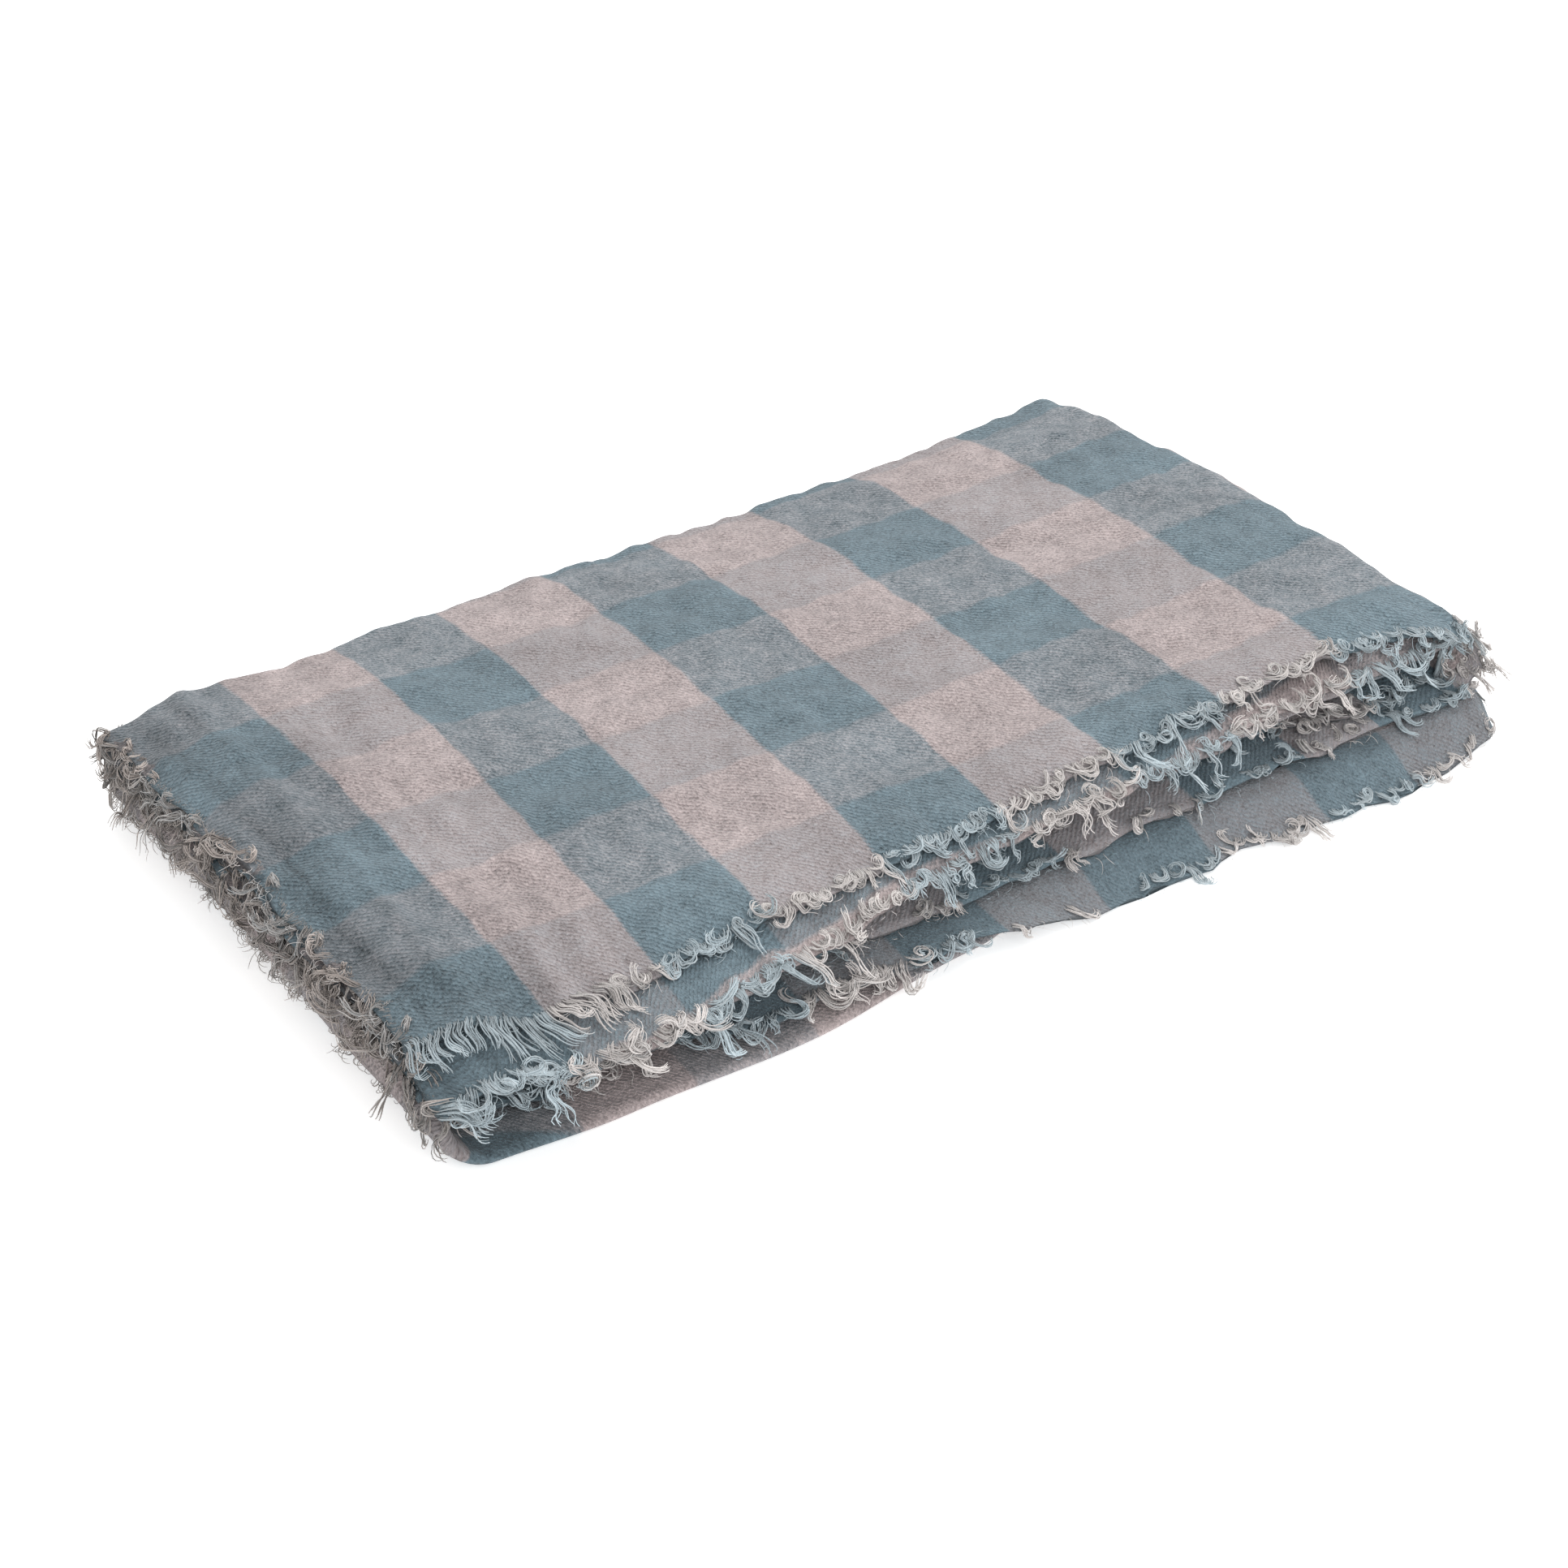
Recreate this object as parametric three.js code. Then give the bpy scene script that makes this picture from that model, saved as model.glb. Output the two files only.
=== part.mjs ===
// Folded check throw: one woven sheet with frayed edges, folded in four
// across its width and in three along its length. Millimetres, +Z up.
// X runs along the packet (loose fringed end at -X, fold at +X), Y across it
// (loose edges and front folds at -Y, back folds at +Y), z = 0 is the rest plane.
import * as THREE from 'three';

// ---- sizes -----------------------------------------------------------------
const CLOTH = 2.0;        // thickness of the woven sheet
const PLY_GAP = 3.2;      // air between plies of one layer
const LAYER_GAP = 3.0;    // air between the three layers
const PITCH = CLOTH + PLY_GAP;
const LAYER = 4 * CLOTH + 3 * PLY_GAP;    // height of a four-ply layer
const LEFT_END = -291;    // woven end of the top layer
const LEFT_BEND = -270;   // centre line of the fold joining layers 2 and 3
const RIGHT_BEND = 338;   // centre line of the fold joining layers 1 and 2
const RIGHT_END = 366;    // woven end of the bottom layer
const BEND_REACH = 1.15;  // how far a lengthwise fold bulges, to its height
const BACK_REACH = 1.0;   // the same for the folds along the back
const FRONT_REACH = 1.5;  // the same for the fold along the front
const FRINGE = 19;        // mean length of the frayed fringe
const TIP = 0.42;         // width of a fringe tooth at its tip, to its root

// Plies of one layer by height: the long outer ply lies on top and underneath,
// the inner one is tucked between with its loose edge second from the top.
const LEVEL = { under: 0, tucked: 1, inner: 2, top: 3 };
const zetaOf = (ply) => CLOTH / 2 + LEVEL[ply] * PITCH;

// Where each front edge and front fold lies (y), at these places along x.
const ALONG = [-290, -200, -100, 0, 100, 200, 300, 345];
const FRONT = [
  { layer: 1, top:   [-156, -168, -165, -160, -155, -154, -155, -170],
              inner: [-184, -198, -188, -176, -171, -169, -166, -165],
              fold:  [-166, -174, -168, -163, -162, -163, -162, -160] },
  { layer: 2, top:   [-150, -158, -166, -172, -172, -171, -171, -175],
              inner: [-148, -155, -156, -150, -143, -146, -164, -160],
              fold:  [-163, -168, -163, -152, -142, -140, -141, -147] },
  { layer: 3, top:   [-166, -172, -186, -195, -200, -203, -206, -198],
              inner: [-164, -170, -172, -146, -138, -138, -138, -140],
              fold:  [-184, -191, -197, -188, -162, -160, -160, -162] },
];
// Where the outer back fold of each layer reaches to (y), at the same places.
const BACK = [
  { layer: 1, fold: [171, 171, 178, 184, 184, 186, 191, 194] },
  { layer: 2, fold: [173, 171, 170, 174, 178, 182, 186, 188] },
  { layer: 3, fold: [168, 172, 176, 175, 174, 178, 184, 188] },
];
// Soft ridges lying across the top near the loose end: place, width, height.
const RIDGES = [
  { x: -262, width: 15, rise: 1.6, lean: 0.05 },
  { x: -222, width: 17, rise: 1.3, lean: -0.04 },
  { x: -176, width: 20, rise: 0.8, lean: 0.06 },
  { x: 60,   width: 46, rise: -1.0, lean: 0.10 },
];

// ---- helpers ---------------------------------------------------------------
const clamp = (v, a, b) => Math.min(b, Math.max(a, v));
const lerp = (a, b, f) => a + (b - a) * f;
const ease = (a, b, v) => { const f = clamp((v - a) / (b - a), 0, 1); return f * f * (3 - 2 * f); };
function along(row, x) {
  const v = clamp(x, ALONG[0], ALONG[ALONG.length - 1]);
  let k = 0;
  while (k < ALONG.length - 2 && v > ALONG[k + 1]) k++;
  const f = (v - ALONG[k]) / (ALONG[k + 1] - ALONG[k]);
  return lerp(row[k], row[k + 1], f * f * (3 - 2 * f));
}

// The long way round the packet: s 0..1 top layer, 1..2 right fold,
// 2..3 middle layer, 3..4 left fold, 4..5 bottom layer.
function xOf(s) {
  if (s <= 1) return lerp(LEFT_END, RIGHT_BEND, s);
  if (s <= 2) return RIGHT_BEND;
  if (s <= 3) return lerp(RIGHT_BEND, LEFT_BEND, s - 2);
  if (s <= 4) return LEFT_BEND;
  return lerp(LEFT_BEND, RIGHT_END, s - 4);
}
const layerMix = (s) => (s <= 1 ? [0, 0, 0] : s < 2 ? [0, 1, s - 1] : s <= 3 ? [1, 1, 0]
  : s < 4 ? [1, 2, s - 3] : [2, 2, 0]);
function frontOf(s, what) {
  const [a, b, f] = layerMix(s), x = xOf(s), g = f * f * (3 - 2 * f);
  return lerp(along(FRONT[a][what], x), along(FRONT[b][what], x), g);
}
function backOf(s) {
  const [a, b, f] = layerMix(s), x = xOf(s);
  return lerp(along(BACK[a].fold, x), along(BACK[b].fold, x), f);
}
// The loose plies of the top layer gape a little towards the right fold.
const gape = (s) => ease(0.55, 0.85, s) * (1 - 0.6 * ease(0.9, 1.05, s)) * (1 - ease(1.0, 1.8, s));
// The bottom layer's top ply hangs down in front of the plies below it.
const DRAPE = 30, HEM_HEIGHT = 2.4;
const drape = (s, y) => ease(4.43, 4.56, s) * (zetaOf('top') - HEM_HEIGHT)
  * (1 - ease(0, DRAPE, y - frontOf(s, 'top')));
const zetaAt = (ply, s, y) => zetaOf(ply) - (ply === 'top' ? drape(s, y) : 0)
  + (ply === 'top' ? 4.0 : ply === 'inner' ? 1.2 : 0) * gape(s) * ease(-60, -150, y);

// Across the packet: q 0..1 top ply (front to back), 1..2 outer back fold,
// 2..3 under ply, 3..4 front fold, 4..5 tucked ply, 5..6 inner back fold, 6..7 inner ply.
function section(s, q, off) {
  const rBack = (zetaOf('top') - zetaOf('under')) / 2;
  const rFold = PITCH / 2;
  const yBack = backOf(s) - rBack * BACK_REACH - CLOTH / 2;
  const yTuck = yBack - 1.0;
  const yFold = frontOf(s, 'fold') + rFold * FRONT_REACH + CLOTH / 2;
  const k = Math.min(6, Math.floor(q)), f = q - k;
  const flat = (ply, y, up) => [y, zetaAt(ply, s, y) + (up ? off : -off)];
  const turn = (yc, lo, hi, reach, phi, inside) => {
    const zc = (lo + hi) / 2, r = (hi - lo) / 2;
    const ny = Math.cos(phi), nz = reach * Math.sin(phi), n = Math.hypot(ny, nz);
    const o = inside ? -off : off;
    return [yc + r * reach * Math.cos(phi) + o * ny / n, zc + r * Math.sin(phi) + o * nz / n];
  };
  if (k === 0) return flat('top', lerp(frontOf(s, 'top'), yBack, f), true);
  if (k === 1) return turn(yBack, zetaOf('under'), zetaOf('top'), BACK_REACH, Math.PI * (0.5 - f), false);
  if (k === 2) return flat('under', lerp(yBack, yFold, f), false);
  if (k === 3) return turn(yFold, zetaOf('under'), zetaOf('tucked'), FRONT_REACH, Math.PI * (1.5 - f), false);
  if (k === 4) return flat('tucked', lerp(yFold, yTuck, f), true);
  if (k === 5) return turn(yTuck, zetaOf('tucked'), zetaOf('inner'), 1, Math.PI * (-0.5 + f), true);
  return flat('inner', lerp(yTuck, frontOf(s, 'inner'), f), false);
}

// Height of the soft pile over its plan, as a factor on z.
function pile(x, y) {
  const u = clamp(x, -330, 380) / 300, v = y / 200;
  let h = 1 + (u > 0 ? 0.15 : 0.09) * (u * u - 0.4) - 0.12 * (v * v - 0.4);
  h -= 0.20 * ease(-130, -215, y) + 0.07 * ease(120, 195, y);
  h -= 0.11 * ease(240, 350, x) * ease(-60, -175, y);   // the front right corner sags
  h -= 0.13 * ease(-236, -300, x);                      // the loose end slopes down
  return h;
}
function ridges(x, y) {
  let d = 0;
  for (const r of RIDGES) {
    const w = (x - r.x - r.lean * y) / r.width;
    d += r.rise * Math.exp(-w * w);
  }
  return d;
}

// From the way round (s), the place across (y) and the height in the layer
// (zeta) to the packet: three layers, two lengthwise folds, then the soft pile.
function place(s, y, zeta, out = 0) {
  const gap12 = LAYER_GAP + 3.0 * ease(60, 300, xOf(s)) * ease(-40, -150, y);
  const mid23 = LAYER + LAYER_GAP / 2;
  const mid12 = mid23 + LAYER + LAYER_GAP / 2 + gap12 / 2;
  let x = xOf(s), z;
  if (s <= 1) z = mid12 + gap12 / 2 + zeta;
  else if (s < 2) {
    const a = Math.PI * (s - 1), r = zeta + gap12 / 2;
    x += BEND_REACH * r * Math.sin(a); z = mid12 + r * Math.cos(a);
  } else if (s <= 3) z = mid12 - gap12 / 2 - zeta;
  else if (s < 4) {
    const a = Math.PI * (s - 3), r = LAYER - zeta + LAYER_GAP / 2;
    x -= BEND_REACH * r * Math.sin(a); z = mid23 + r * Math.cos(a);
  } else {
    z = zeta;
    x -= 11 * ease(4.86, 5, s) * ease(-168, -204, y);   // its front corner is rounded
  }
  x += out;
  const top = (LAYER + LAYER_GAP) * 3;
  z = z * (pile(x, y) + ridges(x, y) / top);
  const sway = 3.0 * Math.sin(y / 70 + 0.6) * clamp(1 - Math.abs(x) / 500, 0.3, 1)
    - 9.0 * ease(-10, -170, y) * ease(180, 345, x) - 0.055 * y * ease(-120, -290, x)
    + 8.0 * ease(285, 345, x) * ease(-100, -172, y);
  return new THREE.Vector3(x + sway, y + 2.2 * Math.sin(x / 85 + 1.1), z);
}

// ---- the grid --------------------------------------------------------------
const ACROSS_PLY = [0, 0.09, 0.2, 0.42, 0.64, 0.86];      // cells of a ply, from its front
const ACROSS_PLY_BACK = ACROSS_PLY.map((f) => 1 - f).reverse().map((f) => clamp(f, 0, 1));
const LONG_LAYER = [0, 0.08, 0.16, 0.3, 0.46, 0.62, 0.78, 0.9];
const ways = [], cross = [];
const addTurn = (list, base, n) => { for (let i = 0; i < n; i++) list.push(base + i / n); };
for (const f of LONG_LAYER) ways.push(f);
addTurn(ways, 1, 6);
for (const f of LONG_LAYER) ways.push(2 + f);
addTurn(ways, 3, 5);
for (const f of LONG_LAYER) ways.push(4 + f);
ways.push(5);
for (const f of ACROSS_PLY) cross.push(f);
addTurn(cross, 1, 6);
for (const f of [0, 0.14, 0.36, 0.58, 0.8, 0.91]) cross.push(2 + f);
addTurn(cross, 3, 5);
for (const f of [0, 0.09, 0.2, 0.42, 0.64, 0.86]) cross.push(4 + f);
addTurn(cross, 5, 4);
for (const f of [0, 0.14, 0.36, 0.58, 0.8, 0.91, 1]) cross.push(6 + f);

const points = [];
const put = (p) => { points.push(p.x, p.y, p.z); return points.length / 3 - 1; };
const tris = [];
const cache = new Map();
function vertex(s, q, side) {
  const key = `${s.toFixed(6)}|${q.toFixed(6)}|${side}`;
  if (!cache.has(key)) {
    const [y, zeta] = section(s, q, side * CLOTH / 2);
    cache.set(key, put(place(s, y, zeta)));
  }
  return cache.get(key);
}
const NS = ways.length - 1, NQ = cross.length - 1;
function polygon(ids, flip) {
  const p = flip ? [ids[0], ...ids.slice(1).reverse()] : ids;
  for (let k = 1; k < p.length - 1; k++) tris.push(p[0], p[k], p[k + 1]);
}
for (let i = 0; i < NS; i++) for (let j = 0; j < NQ; j++) {
  const s0 = ways[i], s1 = ways[i + 1], q0 = cross[j], q1 = cross[j + 1];
  const sm = (s0 + s1) / 2, qm = (q0 + q1) / 2;
  for (const side of [1, -1]) {
    const ring = [];
    let start = -1;
    const add = (s, q, mid) => { if (mid && start < 0) start = ring.length; ring.push(vertex(s, q, side)); };
    add(s0, q0);
    if (j === 0) add(sm, q0, true);
    add(s1, q0);
    if (i === NS - 1) add(s1, qm, true);
    add(s1, q1);
    if (j === NQ - 1) add(sm, q1, true);
    add(s0, q1);
    if (i === 0) add(s0, qm, true);
    const order = start > 0 ? ring.slice(start).concat(ring.slice(0, start)) : ring;
    polygon(order, side < 0);
  }
}

// ---- the fringe: one comb of teeth along every frayed edge --------------------
let tooth = 0;
function combTooth(a, b, dir) {
  tooth++;
  const reach = FRINGE * (dir.share || 1) * (0.86 + 0.14 * Math.sin(tooth * 2.4) + 0.12 * Math.sin(tooth * 1.13 + 0.5));
  const root = [], tip = [];
  for (const side of [1, -1]) {
    root.push([vertex(a[0], a[1], side), vertex(b[0], b[1], side)]);
    const mid = [0.5 - TIP / 2, 0.5 + TIP / 2].map((f) => {
      const s = lerp(a[0], b[0], f), q = lerp(a[1], b[1], f);
      const [y, zeta] = section(s, q, side * CLOTH * 0.4);
      return put(place(s, y + (dir.y || 0) * reach, zeta, (dir.x || 0) * reach));
    });
    tip.push(mid);
  }
  const [ra, rb] = root[0], [rc, rd] = root[1], [ta, tb] = tip[0], [tc, td] = tip[1];
  const quad = (p, q, r, t) => tris.push(p, q, r, p, r, t);
  const f = dir.flip;
  const face = (p, q, r, t) => (f ? quad(t, r, q, p) : quad(p, q, r, t));
  face(rb, ra, ta, tb);
  face(rc, rd, td, tc);
  face(ra, rc, tc, ta);
  face(rd, rb, tb, td);
  face(ta, tc, td, tb);
}
for (let i = 0; i < NS; i++) {
  const s0 = ways[i], s1 = ways[i + 1], sm = (s0 + s1) / 2;
  for (const [a, b] of [[s0, sm], [sm, s1]]) {
    combTooth([a, cross[0]], [b, cross[0]], { y: -1, flip: false, share: a > 4.45 ? 0.75 : 1 });
    combTooth([a, cross[NQ]], [b, cross[NQ]], { y: -1, flip: true });
  }
}
for (let j = 0; j < NQ; j++) {
  const q0 = cross[j], q1 = cross[j + 1], qm = (q0 + q1) / 2;
  for (const [a, b] of [[q0, qm], [qm, q1]]) {
    combTooth([ways[0], a], [ways[0], b], { x: -1, flip: true });
    combTooth([ways[NS], a], [ways[NS], b], { x: 1, flip: false, share: 0.5 });
  }
}

const geometry = new THREE.BufferGeometry();
geometry.setAttribute('position', new THREE.Float32BufferAttribute(points, 3));
geometry.setIndex(tris);
geometry.computeBoundingBox();
const box = geometry.boundingBox;
geometry.translate(-(box.min.x + box.max.x) / 2, -(box.min.y + box.max.y) / 2, 0);
geometry.computeVertexNormals();

const cloth = new THREE.Mesh(geometry, new THREE.MeshStandardMaterial({ color: 0x8f9ba0, roughness: 0.95, metalness: 0 }));
cloth.name = 'throw';

const part = new THREE.Group();
part.name = 'folded_throw';
part.add(cloth);
export default part;
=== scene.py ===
"""A washed cotton throw in a dusty blue and pale beige check, frayed on all four
edges and folded flat: in four across its width, then in three along its length.

The sheet is one thin closed mesh that follows the fold functions below, and each
frayed edge is one joined mesh of yarn strands.  Lengths are millimetres until a
mesh is made.
"""
import math

import bpy
import numpy as np
from mathutils import Matrix


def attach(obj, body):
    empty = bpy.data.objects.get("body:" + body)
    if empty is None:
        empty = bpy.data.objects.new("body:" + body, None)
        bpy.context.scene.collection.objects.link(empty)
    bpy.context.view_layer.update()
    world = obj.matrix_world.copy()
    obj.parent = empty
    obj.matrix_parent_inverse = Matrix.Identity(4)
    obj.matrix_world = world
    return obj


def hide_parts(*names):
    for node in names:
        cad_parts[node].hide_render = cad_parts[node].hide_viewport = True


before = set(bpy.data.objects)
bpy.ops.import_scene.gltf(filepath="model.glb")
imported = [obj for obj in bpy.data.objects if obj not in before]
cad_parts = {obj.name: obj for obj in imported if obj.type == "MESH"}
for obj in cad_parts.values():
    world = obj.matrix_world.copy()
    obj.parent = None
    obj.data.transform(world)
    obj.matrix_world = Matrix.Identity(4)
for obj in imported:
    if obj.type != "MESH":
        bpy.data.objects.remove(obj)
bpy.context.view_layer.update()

# ------------------------------------------------------------------ named sizes
CLOTH = 2.0                       # felted thickness of one ply
PLY_GAP, LAYER_GAP = 3.2, 3.0     # air between plies, and between layers
PITCH = CLOTH + PLY_GAP
LAYER = 4 * CLOTH + 3 * PLY_GAP
LEFT_END, LEFT_BEND = -291.0, -270.0
RIGHT_BEND, RIGHT_END = 338.0, 366.0
BEND_REACH, BACK_REACH, FRONT_REACH = 1.15, 1.0, 1.5
SHIFT = np.array([-28.1, 14.6, 0.0])   # puts the pile's box on the origin

LEVEL = {"under": 0, "tucked": 1, "inner": 2, "top": 3}
ALONG = np.array([-290, -200, -100, 0, 100, 200, 300, 345], float)
FRONT = {
    "top": np.array([[-156, -168, -165, -160, -155, -154, -155, -170],
                     [-150, -158, -166, -172, -172, -171, -171, -175],
                     [-166, -172, -186, -195, -200, -203, -206, -198]], float),
    "inner": np.array([[-184, -198, -188, -176, -171, -169, -166, -165],
                       [-148, -155, -156, -150, -143, -146, -164, -160],
                       [-164, -170, -172, -146, -138, -138, -138, -140]], float),
    "fold": np.array([[-166, -174, -168, -163, -162, -163, -162, -160],
                      [-163, -168, -163, -152, -142, -140, -141, -147],
                      [-184, -191, -197, -188, -162, -160, -160, -162]], float),
}
DRAPE, HEM_HEIGHT = 30.0, 2.4     # the bottom layer's top ply hangs over its front
BACK = np.array([[171, 171, 178, 184, 184, 186, 191, 194],
                 [173, 171, 170, 174, 178, 182, 186, 188],
                 [168, 172, 176, 175, 174, 178, 184, 188]], float)
# soft ridges across the pile: place, half width, rise, lean
RIDGES = [(-262, 15, 1.6, 0.05), (-222, 17, 1.3, -0.04),
          (-176, 20, 0.8, 0.06), (60, 46, -1.0, 0.10)]
# creases pressed into the loose end: place, half width, rise, lean
CREASES = [(-283, 6.0, 2.2, 0.03), (-269, 6.5, -2.0, 0.06), (-252, 7.0, 2.2, 0.02),
           (-238, 6.5, -1.8, -0.03), (-224, 6.0, 1.5, 0.03), (-206, 8.0, -1.3, -0.06),
           (-190, 7.0, 1.1, 0.05), (-158, 9.0, -0.9, 0.09), (-132, 8.0, 0.8, -0.07)]

# the check: where each band of the crosswise yarns ends, by layer
BANDS = [
    ([-291, -228, -166, -103, -33, 41, 112, 185, 267, 338],
     [0.05, 1, 2, 3, 4, 5, 6, 7, 8, 8.72]),
    ([-270, -204, -134, -64, 6, 70, 158, 235, 293, 338],
     [18.94, 18, 17, 16, 15, 14, 13, 12, 11, 10.24]),
    ([-270, -228, -165, -98, -38, 16, 76, 148, 222, 292, 366],
     [20.36, 21, 22, 23, 24, 25, 26, 27, 28, 29, 30.02]),
]
ROW = 58.0                        # height of one row of the lengthwise yarns
ROW_UNDER, ROW_MEAN = 54.0, 62.0  # the same underneath, and on average from there to the inner edge
FIRST_ROW = -116.0                # where the first row ends on the top layer


# ------------------------------------------------------------------ small helpers
def ease(a, b, v):
    f = np.clip((v - a) / (b - a), 0, 1)
    return f * f * (3 - 2 * f)


def waves(seed, lengths, amps):
    """A smooth repeatable function of (x, y) from a few sine waves."""
    g = np.random.default_rng(seed)
    terms = []
    for length, amp in zip(lengths, amps):
        for _ in range(3):
            a = g.uniform(0, 2 * np.pi)
            k = 2 * np.pi / (length * g.uniform(0.75, 1.3))
            terms.append((amp / 1.7, k * np.cos(a), k * np.sin(a), g.uniform(0, 6.28)))

    def f(x, y):
        return sum(m * np.sin(kx * x + ky * y + ph) for m, kx, ky, ph in terms)
    return f


# ------------------------------------------------------------------ the folds
def zeta0(ply):
    return CLOTH / 2 + LEVEL[ply] * PITCH


def along(row, x):
    v = np.clip(x, ALONG[0], ALONG[-1])
    k = np.clip(np.searchsorted(ALONG, v, side="left") - 1, 0, len(ALONG) - 2)
    f = (v - ALONG[k]) / (ALONG[k + 1] - ALONG[k])
    return row[k] + (row[k + 1] - row[k]) * f * f * (3 - 2 * f)


def x_of(s):
    return np.where(s <= 1, LEFT_END + (RIGHT_BEND - LEFT_END) * s,
           np.where(s <= 2, RIGHT_BEND,
           np.where(s <= 3, RIGHT_BEND + (LEFT_BEND - RIGHT_BEND) * (s - 2),
           np.where(s <= 4, LEFT_BEND,
                    LEFT_BEND + (RIGHT_END - LEFT_BEND) * (s - 4)))))


def layers_of(s):
    a = np.where(s <= 1, 0, np.where(s < 2, 0, np.where(s < 4, 1, 2)))
    b = np.where(s <= 1, 0, np.where(s <= 3, 1, 2))
    f = np.where((s > 1) & (s < 2), s - 1, np.where((s > 3) & (s < 4), s - 3, 0.0))
    return a, b, f


def blend_rows(table, s, soft):
    a, b, f = layers_of(s)
    x = x_of(s)
    g = f * f * (3 - 2 * f) if soft else f
    rows = np.stack([along(r, x) for r in table])
    ra = np.take_along_axis(rows, a[None], 0)[0]
    rb = np.take_along_axis(rows, b[None], 0)[0]
    return ra + (rb - ra) * g


def gape(s):
    return ease(0.55, 0.85, s) * (1 - 0.6 * ease(0.9, 1.05, s)) * (1 - ease(1.0, 1.8, s))


def drape(s, y, edge):
    return (ease(4.43, 4.56, s) * (zeta0("top") - HEM_HEIGHT)
            * (1 - ease(0, DRAPE, y - edge)))


def hem_wave(s):
    return 1 + 0.9 * ease(4.40, 4.55, s)      # the hanging hem is more uneven


PLY_WAVE = [waves(20 + i, (150, 80, 45), (0.55, 0.35, 0.22)) for i in range(7)]
EDGE_WAVE = {0: waves(41, (70, 32, 17), (1.3, 1.2, 0.8)),
             6: waves(42, (66, 30, 16), (1.3, 1.2, 0.8))}
EDGE_LIFT = {0: waves(43, (80, 36, 20), (0.7, 0.8, 0.4)),
             6: waves(44, (76, 34, 19), (0.7, 0.7, 0.4))}
END_WAVE = waves(45, (120, 55, 26), (2.6, 1.6, 0.9))
END_LIFT = waves(46, (110, 48, 24), (1.4, 1.0, 0.6))
CRINKLE = waves(47, (62, 34, 21, 13), (0.95, 0.80, 0.62, 0.32))


def section(s, q, off):
    """y and height above its layer's floor of a point of the back-and-forth section."""
    s, q, off = np.broadcast_arrays(np.asarray(s, float), np.asarray(q, float),
                                    np.asarray(off, float))
    r_back = (zeta0("top") - zeta0("under")) / 2
    r_front = PITCH / 2
    y_back = blend_rows(BACK, s, False) - r_back * BACK_REACH - CLOTH / 2
    y_tuck = y_back - 1.0
    y_fold = blend_rows(FRONT["fold"], s, True) + r_front * FRONT_REACH + CLOTH / 2
    k = np.minimum(6, np.floor(q)).astype(int)
    f = q - k
    path = s * 620.0
    top_edge = blend_rows(FRONT["top"], s, True) + EDGE_WAVE[0](path, 0.0) * hem_wave(s)
    in_edge = blend_rows(FRONT["inner"], s, True) + EDGE_WAVE[6](path, 90.0)

    def flat(i, ply, y0, y1, up):
        y = y0 + (y1 - y0) * f
        z = zeta0(ply) + np.where(ply == "top", 4.0, 1.2 if ply == "inner" else 0.0) \
            * gape(s) * ease(-60, -150, y)
        calm = np.ones_like(f)
        if i != 0:
            calm = calm * ease(0, 0.10, f)
        if i != 6:
            calm = calm * ease(1, 0.90, f)
        z = z + PLY_WAVE[i](path, y) * calm
        if i == 0:
            z = z - drape(s, y, y0)
        if i in EDGE_LIFT:
            from_edge = np.abs(y - (y0 if i == 0 else y1))
            z = z + EDGE_LIFT[i](path, 0.0) * np.exp(-(from_edge / 14.0) ** 2)
        return y, z + (off if up else -off)

    def turn(yc, lo, hi, reach, phi, inside):
        zc, r = (lo + hi) / 2, (hi - lo) / 2
        ny, nz = np.cos(phi), reach * np.sin(phi)
        n = np.hypot(ny, nz)
        o = -off if inside else off
        return yc + r * reach * np.cos(phi) + o * ny / n, zc + r * np.sin(phi) + o * nz / n

    parts = [
        flat(0, "top", top_edge, y_back, True),
        turn(y_back, zeta0("under"), zeta0("top"), BACK_REACH, np.pi * (0.5 - f), False),
        flat(2, "under", y_back, y_fold, False),
        turn(y_fold, zeta0("under"), zeta0("tucked"), FRONT_REACH, np.pi * (1.5 - f), False),
        flat(4, "tucked", y_fold, y_tuck, True),
        turn(y_tuck, zeta0("tucked"), zeta0("inner"), 1.0, np.pi * (-0.5 + f), True),
        flat(6, "inner", y_tuck, in_edge, False),
    ]
    y, z = np.zeros_like(s), np.zeros_like(s)
    for i, (yi, zi) in enumerate(parts):
        y, z = np.where(k == i, yi, y), np.where(k == i, zi, z)
    return y, z


def pile(x, y):
    u = np.clip(x, -330, 380) / 300
    v = y / 200
    return (1 + np.where(u > 0, 0.15, 0.09) * (u * u - 0.4) - 0.12 * (v * v - 0.4)
            - 0.20 * ease(-130, -215, y) - 0.07 * ease(120, 195, y)
            - 0.11 * ease(240, 350, x) * ease(-60, -175, y) - 0.13 * ease(-236, -300, x))


def sway_x(x, y):
    return (3.0 * np.sin(y / 70 + 0.6) * np.clip(1 - np.abs(x) / 500, 0.3, 1)
            - 9.0 * ease(-10, -170, y) * ease(180, 345, x) - 0.055 * y * ease(-120, -290, x)
            + 8.0 * ease(285, 345, x) * ease(-100, -172, y))


def sway_y(x):
    return 2.2 * np.sin(x / 85 + 1.1)


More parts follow.
